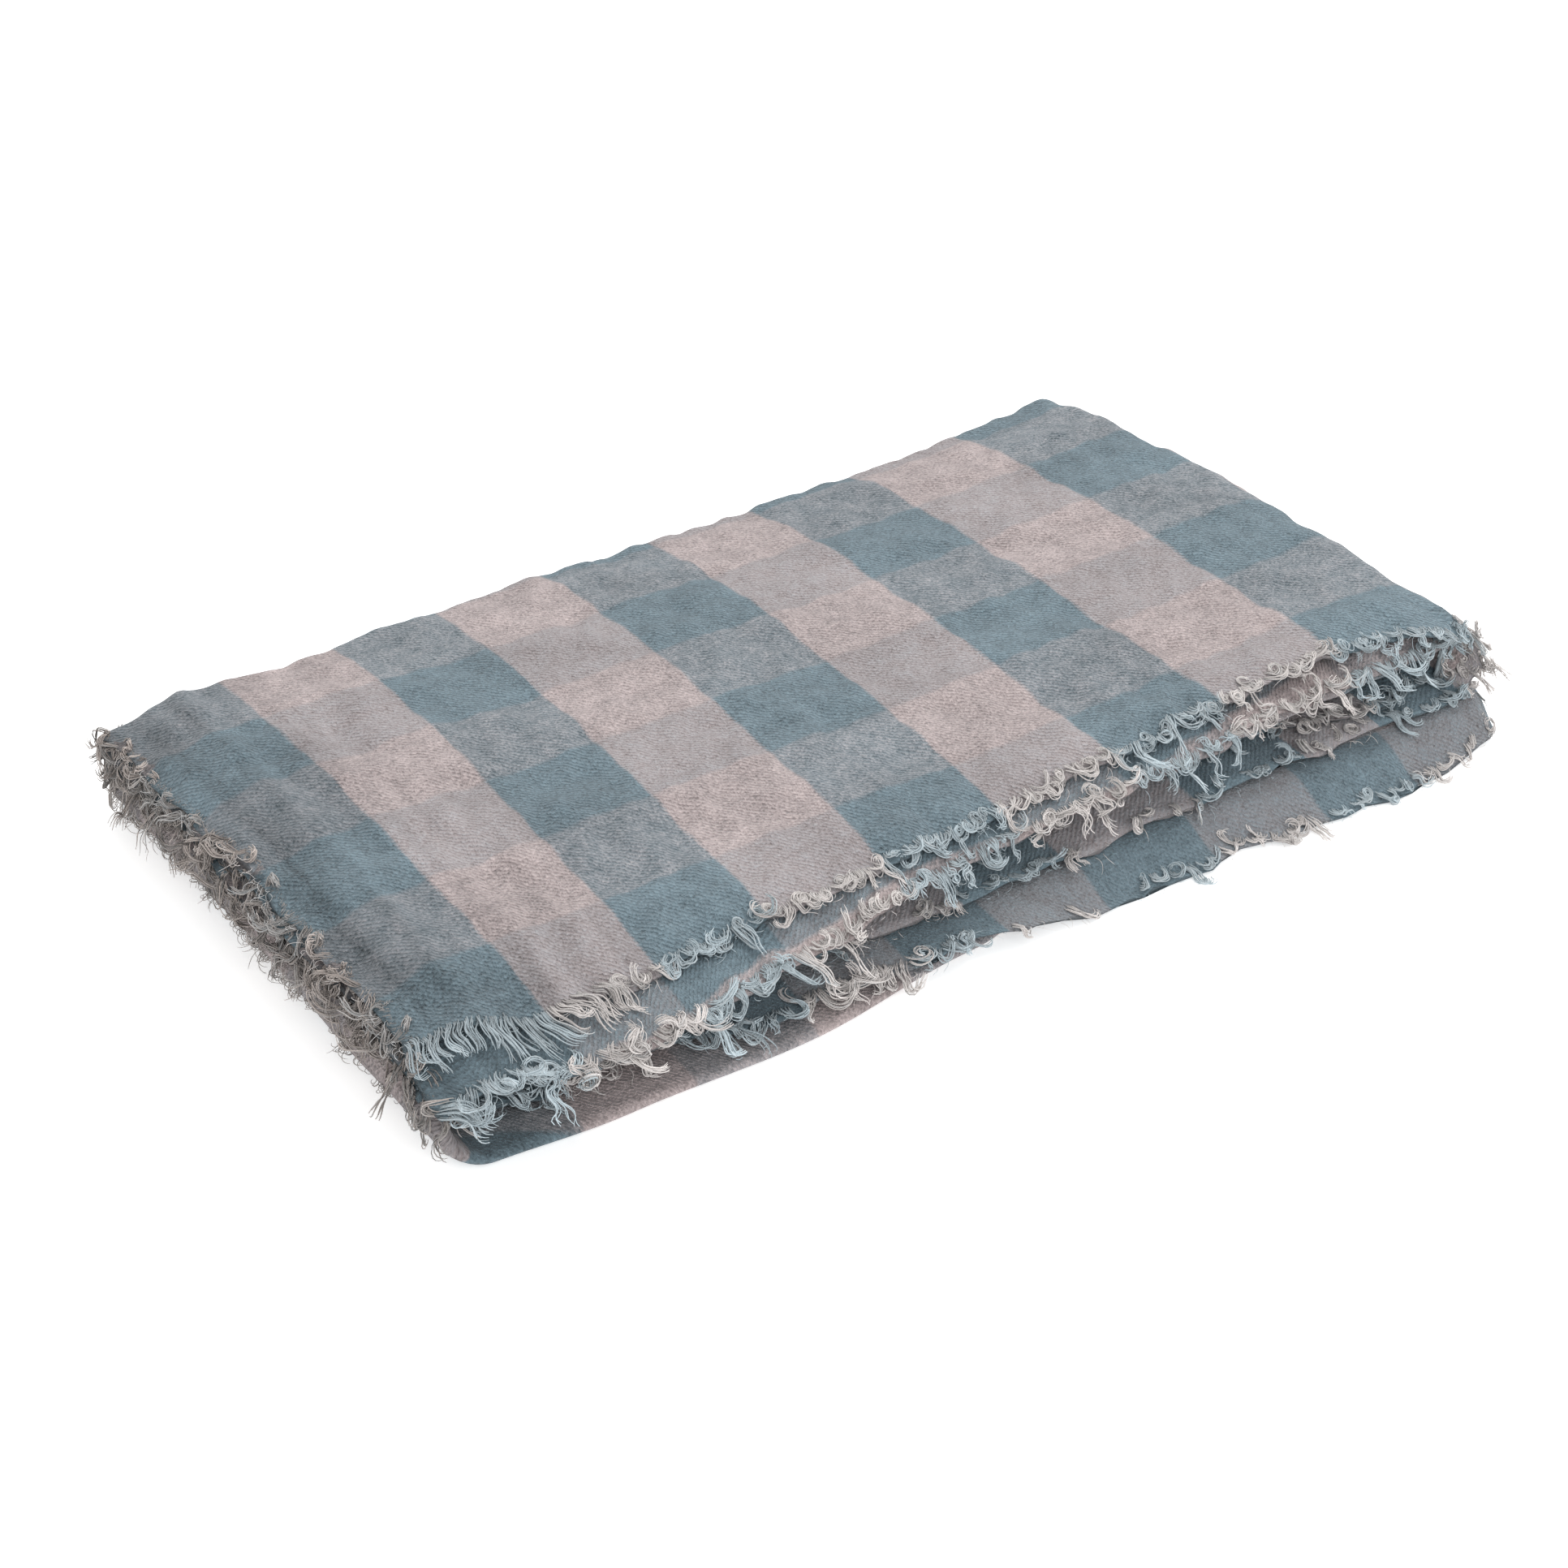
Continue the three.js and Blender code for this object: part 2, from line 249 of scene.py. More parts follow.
def place(s, y, zeta):
    """Stacks the three layers, bends them into each other and softens the pile."""
    gap = LAYER_GAP + 3.0 * ease(60, 300, x_of(s)) * ease(-40, -150, y)
    m23 = LAYER + LAYER_GAP / 2
    m12 = m23 + LAYER + LAYER_GAP / 2 + gap / 2
    a, r = np.pi * (s - 1), zeta + gap / 2
    a2, r2 = np.pi * (s - 3), LAYER - zeta + LAYER_GAP / 2
    z = np.where(s <= 1, m12 + gap / 2 + zeta,
        np.where(s < 2, m12 + r * np.cos(a),
        np.where(s <= 3, m12 - gap / 2 - zeta,
        np.where(s < 4, m23 + r2 * np.cos(a2), zeta))))
    x = (x_of(s) + np.where((s > 1) & (s < 2), BEND_REACH * r * np.sin(a), 0)
         - np.where((s > 3) & (s < 4), BEND_REACH * r2 * np.sin(a2), 0))
    x = x - 11 * ease(4.86, 5.0, s) * ease(-168, -204, y)      # its front corner is rounded
    x = x + END_WAVE(y, zeta * 9) * ease(0.05, 0.0, s)
    z = z + END_LIFT(y, zeta * 9) * ease(0.06, 0.0, s) * 0.6
    ridge = sum(rise * np.exp(-((x - rx - lean * y) / w) ** 2) for rx, w, rise, lean in RIDGES)
    ridge = ridge + CRINKLE(x, y)
    ridge = ridge + sum(rise * (0.65 + 0.45 * np.sin(y / 47 + 2.1 * i))
                        * np.exp(-((x - rx - lean * y - 3 * np.sin(y / 33 + i)) / w) ** 2)
                        for i, (rx, w, rise, lean) in enumerate(CREASES))
    ridge = ridge - 4.0 * ease(0.045, 0.0, s)
    z = z * (pile(x, y) + ridge / (3 * (LAYER + LAYER_GAP)))
    return np.stack(np.broadcast_arrays(x + sway_x(x, y), y + sway_y(x), z), -1)


def surf(s, q, off=0.0):
    s, q, off = np.broadcast_arrays(np.asarray(s, float), np.asarray(q, float),
                                    np.asarray(off, float))
    y, zeta = section(s, q, off)
    p = place(s, y, zeta) + SHIFT
    p[..., 2] = np.maximum(p[..., 2], 0.15)
    return p


# ------------------------------------------------------------------ flat cloth
def steps(*pieces):
    """Joined runs of parameters: (from, to, cells, crowd) with crowd to one end."""
    out = []
    for a, b, n, crowd in pieces:
        f = np.linspace(0, 1, n + 1)[:-1]
        if crowd > 0:
            f = 1 - (1 - f) ** (1 + crowd)
        elif crowd < 0:
            f = f ** (1 - crowd)
        out.append(a + (b - a) * f)
    return np.append(np.concatenate(out), pieces[-1][1])


S_FINE = steps((0, 1, 208, 0), (1, 2, 20, 0), (2, 3, 76, 0), (3, 4, 20, 0), (4, 5, 76, 0))
Q_FINE = steps((0, 1, 104, 0), (1, 2, 14, 0), (2, 3, 14, 0), (3, 4, 12, 0),
               (4, 5, 10, 0), (5, 6, 8, 0), (6, 7, 32, 0.6))

mid = surf(S_FINE[:, None], Q_FINE[None, :])
run_q = np.concatenate([np.zeros((len(S_FINE), 1)),
                        np.cumsum(np.linalg.norm(np.diff(mid, axis=1), axis=2), axis=1)], axis=1)
i_mid = len(Q_FINE) // 2
mean_step = np.linalg.norm(np.diff(mid, axis=0), axis=2)[:, ::6].mean(axis=1)
run_s = np.concatenate([[0.0], np.cumsum(mean_step)])
LAST_LAYER = float(np.interp(4.0, S_FINE, run_s))     # where the bottom layer starts


def band_of(s):
    """Count of bands passed along the cloth; even counts are blue."""
    s = np.asarray(s, float)
    x = x_of(s)
    p1, p2, p3 = (np.interp(x, xs, ps) for xs, ps in BANDS)
    bend1 = 8.72 + (10.24 - 8.72) * (s - 1)
    bend2 = 18.94 + (20.36 - 18.94) * (s - 3)
    return np.where(s <= 1, p1, np.where(s < 2, bend1, np.where(s <= 3, p2,
           np.where(s < 4, bend2, p3))))


# distance across the cloth from the end of its first row, and the row count
a_, b_, f_ = layers_of(S_FINE)
first = np.where(S_FINE <= 1, FIRST_ROW, blend_rows(FRONT["top"], S_FINE, True) + 40)
blend1 = ease(1.0, 2.0, S_FINE)
first = np.where((S_FINE > 1) & (S_FINE < 2),
                 FIRST_ROW * (1 - blend1) + blend1 * (blend_rows(FRONT["top"], S_FINE, True) + 40), first)
edge_y = section(S_FINE, 0 * S_FINE, 0.0)[0]
T_GRID = run_q - (first - edge_y)[:, None]
q1 = int(np.searchsorted(Q_FINE, 1.0))
q3 = int(np.searchsorted(Q_FINE, 3.5))
t1, t3, t7 = T_GRID[:, q1:q1 + 1], T_GRID[:, q3:q3 + 1], T_GRID[:, -1:]
r1 = 1 + t1 / ROW
r3, r7 = r1 + (t3 - t1) / ROW_UNDER, r1 + (t7 - t1) / ROW_MEAN
R_GRID = np.where(Q_FINE[None, :] <= 1.0, 1 + T_GRID / ROW,
         np.where(Q_FINE[None, :] <= 3.5, r1 + (T_GRID - t1) / ROW_UNDER,
                  r3 + (r7 - r3) * (T_GRID - t3) / (t7 - t3)))


# ------------------------------------------------------------------ mesh from arrays
def mesh_object(name, verts, tris, uv_name=None, loop_uv=None):
    me = bpy.data.meshes.new(name)
    me.vertices.add(len(verts))
    me.vertices.foreach_set("co", (np.asarray(verts, np.float32) / 1000.0).ravel())
    me.loops.add(3 * len(tris))
    me.loops.foreach_set("vertex_index", np.asarray(tris, np.int32).ravel())
    me.polygons.add(len(tris))
    me.polygons.foreach_set("loop_start", np.arange(0, 3 * len(tris), 3, dtype=np.int32))
    me.polygons.foreach_set("loop_total", np.full(len(tris), 3, np.int32))
    me.polygons.foreach_set("use_smooth", np.ones(len(tris), bool))
    if loop_uv is not None:
        layer = me.uv_layers.new(name=uv_name)
        layer.data.foreach_set("uv", np.asarray(loop_uv, np.float32).ravel())
    me.update()
    me.validate()
    ob = bpy.data.objects.new(name, me)
    bpy.context.scene.collection.objects.link(ob)
    return ob


def vector_attribute(ob, name, values):
    at = ob.data.attributes.new(name, "FLOAT_VECTOR", "POINT")
    at.data.foreach_set("vector", np.asarray(values, np.float32).ravel())


def grid_tris(n, m, flip):
    i, j = np.meshgrid(np.arange(n - 1), np.arange(m - 1), indexing="ij")
    a = (i * m + j).ravel()
    b, c, d = a + m, a + m + 1, a + 1
    t = np.concatenate([np.stack([a, b, c], 1), np.stack([a, c, d], 1)])
    return t[:, ::-1] if flip else t


# ------------------------------------------------------------------ the sheet
def half_thick(s, q):
    near = np.minimum(np.minimum(s * 629, (5 - s) * 582), np.minimum(q * 320, (7 - q) * 340))
    return 0.45 + 0.5 * ease(0, 12, near)


def build_sheet():
    sf, qf = S_FINE[:, None] + 0 * Q_FINE[None, :], Q_FINE[None, :] + 0 * S_FINE[:, None]
    n, m = sf.shape
    face = surf(sf, qf, half_thick(sf, qf))
    sc, qc = sf[::2, ::2], qf[::2, ::2]
    nc, mc = sc.shape
    back = surf(sc, qc, -half_thick(sc, qc))
    verts = np.concatenate([face.reshape(-1, 3), back.reshape(-1, 3)])
    base = n * m
    fine = np.arange(n * m).reshape(n, m)
    coarse = base + np.arange(nc * mc).reshape(nc, mc)
    # the rim: each step of the coarse side meets two of the fine side
    rim = []
    for f_line, c_line, flip in ((fine[0, :], coarse[0, :], False), (fine[-1, :], coarse[-1, :], True),
                                 (fine[:, 0], coarse[:, 0], True), (fine[:, -1], coarse[:, -1], False)):
        for k in range(len(c_line) - 1):
            f0, f1, f2, c0, c1 = f_line[2 * k], f_line[2 * k + 1], f_line[2 * k + 2], c_line[k], c_line[k + 1]
            t = [(f0, f1, c0), (f1, c1, c0), (f1, f2, c1)]
            rim += [x[::-1] for x in t] if flip else t
    rim = np.array(rim)
    t_face = grid_tris(n, m, False)
    t_back = grid_tris(nc, mc, True) + base
    tris = np.concatenate([t_face, t_back, rim])

    s_run = np.concatenate([np.repeat(run_s[:, None], m, 1).ravel(), np.repeat(run_s[::2, None], mc, 1).ravel()])
    t_run = np.concatenate([T_GRID.ravel(), T_GRID[::2, ::2].ravel()])
    side = np.concatenate([np.ones(n * m), -np.ones(nc * mc)])
    band = band_of(S_FINE)
    p = np.concatenate([np.repeat(band[:, None], m, 1).ravel(), np.repeat(band[::2, None], mc, 1).ravel()])
    r = np.concatenate([R_GRID.ravel(), R_GRID[::2, ::2].ravel()])

    # the back of the face edge is faded and painted lighter against the shade under the ply above; the fold under the
    # loose end is painted darker as shade
    fold = ease(3.0, 3.2, S_FINE) * ease(4.12, 3.9, S_FINE)
    fold = np.concatenate([np.repeat(fold[:, None], m, 1).ravel(), np.repeat(fold[::2, None], mc, 1).ravel()])
    fade_and_painted_light = np.stack([ease(4, -8, t_run) * (side < 0), fold, 0 * fold], 1)

    # flat pattern pieces for both sides, side by side
    lo, hi = T_GRID.min(), T_GRID.max()
    u = 0.012 + 0.476 * (t_run - lo) / (hi - lo) + np.where(side > 0, 0.0, 0.5)
    v = 0.012 + 0.976 * s_run / run_s[-1]
    uv = np.stack([u, v], 1)[tris.ravel()]
    rim_from = 3 * (len(t_face) + len(t_back))
    on_back = tris.ravel()[rim_from:] >= base
    rim_uv = uv[rim_from:]
    rim_uv[on_back, 0] -= 0.5
    centre = np.array([0.25, 0.5])
    rim_uv[on_back] += np.sign(rim_uv[on_back] - centre) * 0.003
    uv[rim_from:] = rim_uv

    ob = mesh_object("throw_sheet", verts, tris, "OFBake", uv)
    vector_attribute(ob, "flat", np.stack([s_run, t_run, side * 400.0], 1))
    vector_attribute(ob, "check", np.stack([p, r, side], 1))
    vector_attribute(ob, "fade_and_painted_light", fade_and_painted_light)
    return ob


# ------------------------------------------------------------------ what lies below
# the plies from the top down: layer, ply, front edge table
STACK = [(0, "top", "top"), (0, "inner", "inner"), (0, "tucked", "fold"), (0, "under", "fold"),
         (1, "under", "fold"), (1, "tucked", "fold"), (1, "inner", "inner"), (1, "top", "top"),
         (2, "top", "top"), (2, "inner", "inner"), (2, "tucked", "fold"), (2, "under", "fold")]


def s_at(layer, x):
    if layer == 0:
        return np.clip((x - LEFT_END) / (RIGHT_BEND - LEFT_END), 0, 1)
    if layer == 1:
        return np.clip(2 + (x - RIGHT_BEND) / (LEFT_BEND - RIGHT_BEND), 2, 3)
    return np.clip(4 + (x - LEFT_BEND) / (RIGHT_END - LEFT_BEND), 4, 5)


def ply_height(rank, pts):
    """Height of a ply's middle at the points' x and y, and whether it reaches there."""
    layer, ply, table = STACK[rank]
    x, y = pts[..., 0] - SHIFT[0], pts[..., 1] - SHIFT[1]
    x0 = x - sway_x(x, y)
    y0 = y - sway_y(x0)
    s = s_at(layer, x0)
    edge = blend_rows(FRONT[table], s, True)
    if table == "top":
        edge = edge + EDGE_WAVE[0](s * 620.0, 0.0) * hem_wave(s)
    elif table == "inner":
        edge = edge + EDGE_WAVE[6](s * 620.0, 90.0)
    zeta = zeta0(ply) + (4.0 if ply == "top" else 1.2 if ply == "inner" else 0.0) \
        * gape(s) * ease(-60, -150, y0)
    if ply == "top":
        zeta = zeta - drape(s, y0, edge)
    z = place(s, y0, zeta)[..., 2]
    left = (LEFT_END, LEFT_BEND - 8, LEFT_BEND - 8)[layer]
    right = (RIGHT_BEND + 8, RIGHT_BEND + 8, RIGHT_END)[layer]
    there = (y0 > edge - 0.5) & (x0 > left) & (x0 < right) & (y0 < 185)
    return z, there


def room(pts, rank):
    """Floor and ceiling heights for strands that start at ply number `rank`."""
    low = np.full(pts.shape[:-1], 0.0)
    high = np.full(pts.shape[:-1], 1e3)
    for other in range(len(STACK)):
        z, there = ply_height(other, pts)
        below = there & (other >= rank)
        above = there & (other < rank)
        low = np.where(below, np.maximum(low, z + 1.1), low)
        high = np.where(above, np.minimum(high, z - 1.1), high)
    return low, high


# ------------------------------------------------------------------ frayed edges
POINTS = 16            # points along one strand


def strand_paths(base, out, side, seed, pick, spacing, longer, droop, rise):
    """Locks of fine strands that leave the cloth at `base`, run `out`, twist and curl."""
    g = np.random.default_rng(seed)
    n = len(base)
    v = np.linspace(0, 1, POINTS)[None, :]
    u = 0.5 * (v[:, 1:] + v[:, :-1])
    lock = np.zeros(n, int)
    k, c = 0, 0
    while k < n:
        stop = min(n, k + max(3, int(round(g.uniform(2.6, 7.2) / spacing[k]))))
        lock[k:stop] = c
        k, c = stop, c + 1
    firsts = np.searchsorted(lock, np.arange(c))
    style = np.array([g.choice(5, p=pick(i)) for i in firsts])
    st = style[lock][:, None]
    size = np.bincount(lock)

    def mean(values):
        return np.stack([np.bincount(lock, values[:, i]) / size for i in range(3)], 1)[lock]

    def per(lo, hi, jitter=0.0):
        return (g.uniform(lo, hi, c)[lock] + jitter * g.normal(size=n))[:, None]

    sign = np.where(g.random(c) < 0.62, 1.0, -1.0)[lock][:, None]
    lean = per(-0.55, 0.55, 0.05)
    swing = (per(0.35, 0.9) * np.sin(2 * np.pi * (u * per(0.5, 1.1, 0.03) + per(0, 1, 0.02)))
             + per(0.2, 0.7) * np.sin(2 * np.pi * (u * per(1.3, 2.3, 0.05) + per(0, 1, 0.03))))
    at = base[:, :1] + base[:, 1:2]
    comb = 0.14 + 0.26 * np.sin(at / 13.0) + 0.12 * np.sin(at / 5.1)
    wave = (0.42 + 0.14 * np.sin(at / 9.0)) * np.sin(2 * np.pi * (1.15 * u + at / 95.0))
    hook = per(0.2, 2.2, 0.2) * (1 + np.sin(at / 7.3)) / 2
    theta = np.select(
        [st == 0, st == 1, st == 2],
        [comb + 0.12 * lean + wave + hook * ease(0.6, 1.0, u),                                # combed
         lean + sign * per(2.4, 5.0, 0.10) * u ** per(0.9, 1.6) + 0.35 * swing,             # curls
         lean + sign * per(4.8, 7.4, 0.12) * u ** per(0.9, 1.4) + 0.25 * swing],            # rings
        lean + 1.25 * swing + sign * per(0.3, 2.4, 0.15) * ease(0.35, 1.0, u))              # shag, tufts
    tilt = per(-0.25, 1.0, 0.05) * rise - per(0.4, 1.3, 0.05) * droop * 2 * ease(0.0, 0.75, u)
    length = np.select([st == 0, st == 1, st == 2, st == 3],
                       [per(17, 25, 0.9), per(12, 19, 0.6), per(15, 22, 0.6), per(11, 19, 0.9)],
                       per(6, 10, 0.6)) * longer[:, None]
    roll = per(-0.75, 0.75, 0.06)
    o, d = mean(out), mean(side)
    ahead = np.cos(tilt)[..., None] * o[:, None, :]
    ahead[..., 2] += np.sin(tilt)
    above = np.cross(d[:, None, :], ahead)
    turned = np.cos(roll)[..., None] * d[:, None, :] + np.sin(roll)[..., None] * above
    step = np.cos(theta)[..., None] * ahead + np.sin(theta)[..., None] * turned
    step *= (np.clip(length, 4, 46) / (POINTS - 1))[..., None]
    path = np.concatenate([base[:, None, :], base[:, None, :] + np.cumsum(step, axis=1)], axis=1)
    pull = np.where(st == 0, per(0.0, 0.4), per(0.45, 0.92))
    path += (mean(base) - base)[:, None, :] * (pull * ease(0.05, 0.6, v))[..., None]
    # strands wind round each other and frizz
    way = np.gradient(path, axis=1)
    way /= np.linalg.norm(way, axis=2, keepdims=True) + 1e-9
    one = np.cross(way, np.array([0.05, 0.1, 1.0]))
    one /= np.linalg.norm(one, axis=2, keepdims=True) + 1e-9
    two = np.cross(way, one)
    wind = 2 * np.pi * g.random((n, 1)) + per(-6, 6) * v
    reach = np.sqrt(g.random((n, 1))) * per(0.35, 1.05) * ease(0.05, 0.5, v) * (0.75 + 0.7 * v)
    rough = ease(0.08, 1.0, v) * g.uniform(0.10, 0.42, (n, 1))
    fa, fb = g.uniform(1.4, 3.1, (n, 1)), g.uniform(1.4, 3.1, (n, 1))
    f1 = reach * np.cos(wind) + rough * np.sin(2 * np.pi * (fa * v + g.random((n, 1))))
    f2 = reach * np.sin(wind) + rough * np.sin(2 * np.pi * (fb * v + g.random((n, 1))))
    path += f1[..., None] * one + f2[..., None] * two
    thick = np.clip(g.normal(0.37, 0.07, n), 0.22, 0.55)
    fluff = np.abs(g.normal(0.0, 0.9, c))[lock] + np.abs(g.normal(0, 0.5, n))
    return path, thick, fluff, lock, style[lock]


def settle(path, thick, fluff, rank):
    """Keeps strands above what they lie on and under what covers them."""
    out = path.copy()
    for r in np.unique(rank):
        m = rank == r
        low, high = room(out[m], int(r))
        grow = np.linspace(0.15, 1.0, out.shape[1])[None, :]
        floor = low + thick[m][:, None] + fluff[m][:, None] * grow
        roof = high - thick[m][:, None]
        z = out[m][..., 2]
        z = np.minimum(np.maximum(z, floor), np.maximum(roof, low + 0.3))
        tmp = out[m]
        tmp[..., 2] = z
        out[m] = tmp
    # take the steps out of the clamped heights
    z = out[..., 2]
    for _ in range(2):
        zs = z.copy()
        zs[:, 1:-1] = 0.25 * z[:, :-2] + 0.5 * z[:, 1:-1] + 0.25 * z[:, 2:]
        z = zs
    out[..., 2] = np.maximum(z, thick[:, None] + 0.1)
    return out


def tubes(name, path, thick, blue, light, sides=3, tip=0.4):
    """One mesh of thin tapering tubes."""
    n, m = path.shape[:2]
    t = np.gradient(path, axis=1)
    t /= np.linalg.norm(t, axis=2, keepdims=True) + 1e-9
    ref = np.where(np.abs(t[..., 2:3]) > 0.9, np.array([1.0, 0, 0]), np.array([0, 0, 1.0]))
    a = np.cross(t, ref)
    a /= np.linalg.norm(a, axis=2, keepdims=True) + 1e-9
    b = np.cross(t, a)
    ang = 2 * np.pi * np.arange(sides) / sides
    taper = np.interp(np.linspace(0, 1, m), [0, 0.1, 0.75, 1], [0.85, 1, 0.9, tip])
    rad = thick[:, None] * taper[None, :]
    ring = (np.cos(ang)[None, None, :, None] * a[:, :, None, :] + np.sin(ang)[None, None, :, None] * b[:, :, None, :])
    v = path[:, :, None, :] + ring * rad[:, :, None, None]
    idx = np.arange(n * m * sides).reshape(n, m, sides)
    nx = np.roll(idx, -1, axis=2)
    q = np.stack([idx[:, :-1], nx[:, :-1], nx[:, 1:], idx[:, 1:]], -1).reshape(-1, 4)
    tris = np.concatenate([q[:, [0, 2, 1]], q[:, [0, 3, 2]]])
    # closed tips
    caps = []
    for ring_i, flip in ((0, False), (m - 1, True)):
        for k in range(1, sides - 1):
            c = np.stack([idx[:, ring_i, 0], idx[:, ring_i, k], idx[:, ring_i, k + 1]], 1)
            caps.append(c[:, ::-1] if flip else c)
    caps = np.concatenate(caps)
    # each strand unrolled into its own small cell
    cols = int(math.ceil(math.sqrt(n * 1.3)))
    rows = int(math.ceil(n / cols))
    strand = np.repeat(np.arange(n), len(q) // n)
    ring0 = np.tile(np.repeat(np.arange(m - 1), sides), n)
    col0 = np.tile(np.tile(np.arange(sides), m - 1), n)
    cu, cv = strand % cols, strand // cols

    def cell(i, j):
        uu = (cu + 0.12 + 0.76 * i / (m - 1)) / cols
        vv = (cv + 0.12 + 0.76 * j / sides) / rows
        return np.stack([uu, vv], 1)
    c0, c1, c2, c3 = cell(ring0, col0), cell(ring0, col0 + 1), cell(ring0 + 1, col0 + 1), cell(ring0 + 1, col0)
    uv = np.concatenate([np.stack([c0, c2, c1], 1), np.stack([c0, c3, c2], 1)]).reshape(-1, 2)
    cap_strand = caps[:, 0] // (m * sides)
    corner = np.stack([(cap_strand % cols + 0.04) / cols, (cap_strand // cols + 0.04) / rows], 1)
    cap_uv = np.stack([corner, corner + [0.03 / cols, 0], corner + [0, 0.03 / rows]], 1).reshape(-1, 2)
    ob = mesh_object(name, v.reshape(-1, 3), np.concatenate([tris, caps]), "OFBake", np.concatenate([uv, cap_uv]))
    along_ = np.repeat(np.linspace(0, 1, m)[None, :], n, 0)
    vals = np.stack([np.repeat(blue[:, None], m, 1), np.repeat(light[:, None], m, 1), along_], -1)
    vector_attribute(ob, "yarn", np.repeat(vals[:, :, None, :], sides, 2).reshape(-1, 3))
    run = np.stack([np.repeat(np.arange(n)[:, None] * 3.7, m, 1), along_ * 25.0, 0 * along_], -1)
    vector_attribute(ob, "flat", np.repeat(run[:, :, None, :], sides, 2).reshape(-1, 3))
    return ob


def spread(par, pts, gap, g):
    """Parameters spread along an edge, `gap` apart by length, with a little scatter."""
    step = np.linalg.norm(np.diff(pts, axis=0), axis=1) / (0.5 * (gap[1:] + gap[:-1]))
    d = np.concatenate([[0], np.cumsum(step)])
    n = int(d[-1])
    return np.interp(np.arange(n) + 0.5 + g.uniform(-0.35, 0.35, n), d, par)


def blue_share(count):
    return np.clip(0.5 + 6.0 * np.sin(np.pi * count), 0, 1)


def front_fringe(name, q_edge, seed, s_from, s_to, gap_of):
    g = np.random.default_rng(seed)
    par = np.linspace(s_from, s_to, 4001)
    s = spread(par, surf(par, np.full_like(par, q_edge)), gap_of(par), g)
    top = q_edge < 1
    inward = 0.012 if top else -0.012
    q0 = np.full_like(s, q_edge)
    layer = np.where(s < 1.5, 0, np.where(s < 3.5, 1, 2))
    upper = np.where(layer == 1, -1.0, 1.0) * (1.0 if top else -1.0)   # the side that faces up
    base = surf(s, q0 + inward * g.uniform(0.5, 1.6, len(s)), 0.7 * upper)
    out = surf(s, q0) - surf(s, q0 + inward * 2)
    out /= np.linalg.norm(out, axis=1, keepdims=True)
    side = surf(np.clip(s + 0.002, 0, 5), q0) - surf(np.clip(s - 0.002, 0, 5), q0)
    side /= np.linalg.norm(side, axis=1, keepdims=True)
    side *= np.where(layer == 1, -1.0, 1.0)[:, None]
    # which ply of the stack each strand starts at
    rank = np.array([0, 7, 8] if top else [1, 6, 9])[layer]
    rank = np.where((s > 1) & (s < 2), 7, np.where((s > 3) & (s < 4), 8, rank))
    x = x_of(s)
    hung = (layer == 2) & top & (x > 0)
    bend = ((s > 1.05) & (s < 1.95))[:, None]
    out = out + np.where(bend, np.array([0.6, 0.0, 0.0]), 0.0)
    out /= np.linalg.norm(out, axis=1, keepdims=True)

    def pick(i):
        if layer[i] == 0 and top and x[i] < -190:
            return [0.92, 0.04, 0.0, 0.04, 0.0]
        if layer[i] == 0 and top:
            return [0.08, 0.54, 0.24, 0.10, 0.04]
        if layer[i] == 0:
            return [0.06, 0.50, 0.16, 0.25, 0.03]
        if layer[i] == 1:
            return [0.04, 0.46, 0.16, 0.18, 0.16]
        return [0.04, 0.40, 0.16, 0.18, 0.22]
    longer = np.where(layer == 0, np.where(top, 1.0 + 0.10 * ease(-170, -210, x), 1.08 + 0.46 * ease(-40, -190, x) + 0.25 * ease(120, 220, x)), np.where(top, 0.95, 1.1))
    longer = np.where(bend[:, 0], 1.1, longer)
    low_left = (layer == 2) * top * ease(-190, -150, x) * ease(40, 0, x)
    longer = longer + 0.7 * low_left
    droop = np.where(layer == 0, np.where(top, 0.40, 0.45 + 0.30 * ease(0, -150, x) + 0.2 * ease(100, 220, x)), np.where(hung, 0.3, 0.5))[:, None]
    droop = np.where(bend, 0.8, droop)
    path, thick, fluff, lock, style = strand_paths(base, out, side, seed + 1, pick, gap_of(s), longer, droop, 0.32)
    if not top:      # the locks of the inner edge hang only so far
        far = (11 + 10 * ease(-150, -220, x))[:, None]
        drop = base[:, 2:3] - path[..., 2]
        path[..., 2] = base[:, 2:3] - np.where(drop > 0, far * np.tanh(drop / far), drop)
    path = settle(path, thick, fluff, rank)
    blue = np.clip(blue_share(band_of(s)) + g.normal(0, 0.10, len(s)), 0, 1)
    light = 1 + g.normal(0, 0.07, len(s)) + np.random.default_rng(seed + 5).normal(0, 0.07, lock.max() + 1)[lock]
    # painted shade: face-edge strands of the top layer darken towards the left end
    light = light * (1 - 0.10 * top * ease(-180, -200, x) * (layer == 0))
    bare = np.random.default_rng(seed + 6).random(lock.max() + 1)[lock] < np.where(hung, 0.50, np.where(layer == 1, 0.45, 0.30 - 0.2 * low_left))
    keep = ~((layer > 0) & top & ~bend[:, 0] & bare)
    return tubes(name, path[keep], thick[keep], blue[keep], light[keep])


